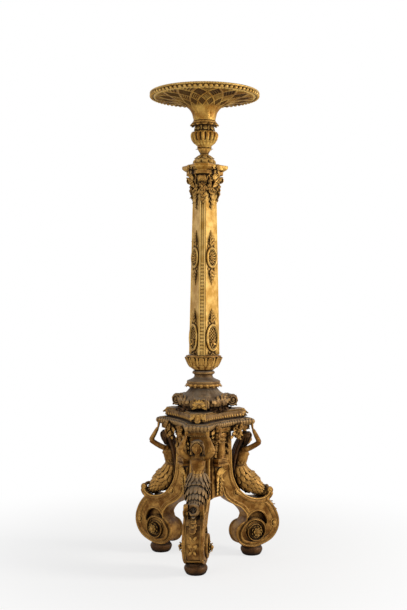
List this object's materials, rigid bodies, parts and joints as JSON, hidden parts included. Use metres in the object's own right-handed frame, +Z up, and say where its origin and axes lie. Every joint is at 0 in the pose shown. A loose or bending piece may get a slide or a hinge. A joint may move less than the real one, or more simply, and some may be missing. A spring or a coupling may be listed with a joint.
{
  "type": "torchere candle stand",
  "caption": "Carved and gilt three-sided stand with a round dish on a flared trumpet, a tapering stem, and a base of scroll legs with caryatid figures.",
  "frame": {"origin": "on the floor, on the stand's axis, at the middle of the three feet", "axes": "+Z up along the stand's axis; -Y towards the front leg; +X to the right of the front leg as it is seen from the front"},
  "size_m": [0.5358, 0.49, 1.694],
  "materials": {
    "gilt": "gilded and burnished, rubbed at the edges",
    "bright_gilt": "gilded, bright on the raised parts",
    "worn_gilt": "gilding worn down to the brown ground",
    "dusty_gilt": "gilding dulled by dust",
    "brown_wood": "dark brown, with traces of gilding",
    "iron": "forged, dull",
    "bare_wood": "bare, sawn and turned"
  },
  "bodies": {
    "root": {"dish_board": "gilt", "rim_beading": "bright_gilt", "dish_trumpet": "gilt", "collar_ring": "gilt", "urn_neck": "gilt", "fluted_urn": "gilt", "urn_calyx": "worn_gilt", "knop": "gilt", "abacus": "gilt", "capital_frieze": "worn_gilt", "capital_volutes": "worn_gilt", "capital_festoons": "worn_gilt", "stem_shaft": "gilt", "stem_strip_front": "bright_gilt", "stem_strip_right": "bright_gilt", "stem_strip_left": "bright_gilt", "upper_medallion_right": "worn_gilt", "upper_medallion_back": "worn_gilt", "upper_medallion_left": "worn_gilt", "lower_medallion_right": "bright_gilt", "lower_medallion_back": "bright_gilt", "lower_medallion_left": "bright_gilt", "stem_cup": "gilt", "lower_neck": "gilt", "leaf_collar": "worn_gilt", "scroll_cushion": "dusty_gilt", "cushion_roll_front": "dusty_gilt", "cushion_roll_right": "dusty_gilt", "cushion_roll_left": "dusty_gilt", "recess_drum": "brown_wood", "platform_block": "worn_gilt", "platform_edge": "dusty_gilt", "platform_fascia": "worn_gilt", "core": "brown_wood", "baluster_right": "gilt", "baluster_back": "gilt", "baluster_left": "gilt", "pendant_right": "worn_gilt", "pendant_back": "worn_gilt", "pendant_left": "worn_gilt", "garland_right": "bright_gilt", "garland_back": "bright_gilt", "garland_left": "bright_gilt", "leg_front": "gilt", "leg_right": "gilt", "leg_left": "gilt", "leg_rosettes_front": "worn_gilt", "leg_rosettes_right": "worn_gilt", "leg_rosettes_left": "worn_gilt", "figure_front": "bright_gilt", "figure_right": "bright_gilt", "figure_left": "bright_gilt", "foot_front": "brown_wood", "foot_right": "brown_wood", "foot_left": "brown_wood", "upper_rod": "iron", "stem_dowel": "bare_wood", "leg_dowels": "bare_wood"}
  },
  "joints": []
}
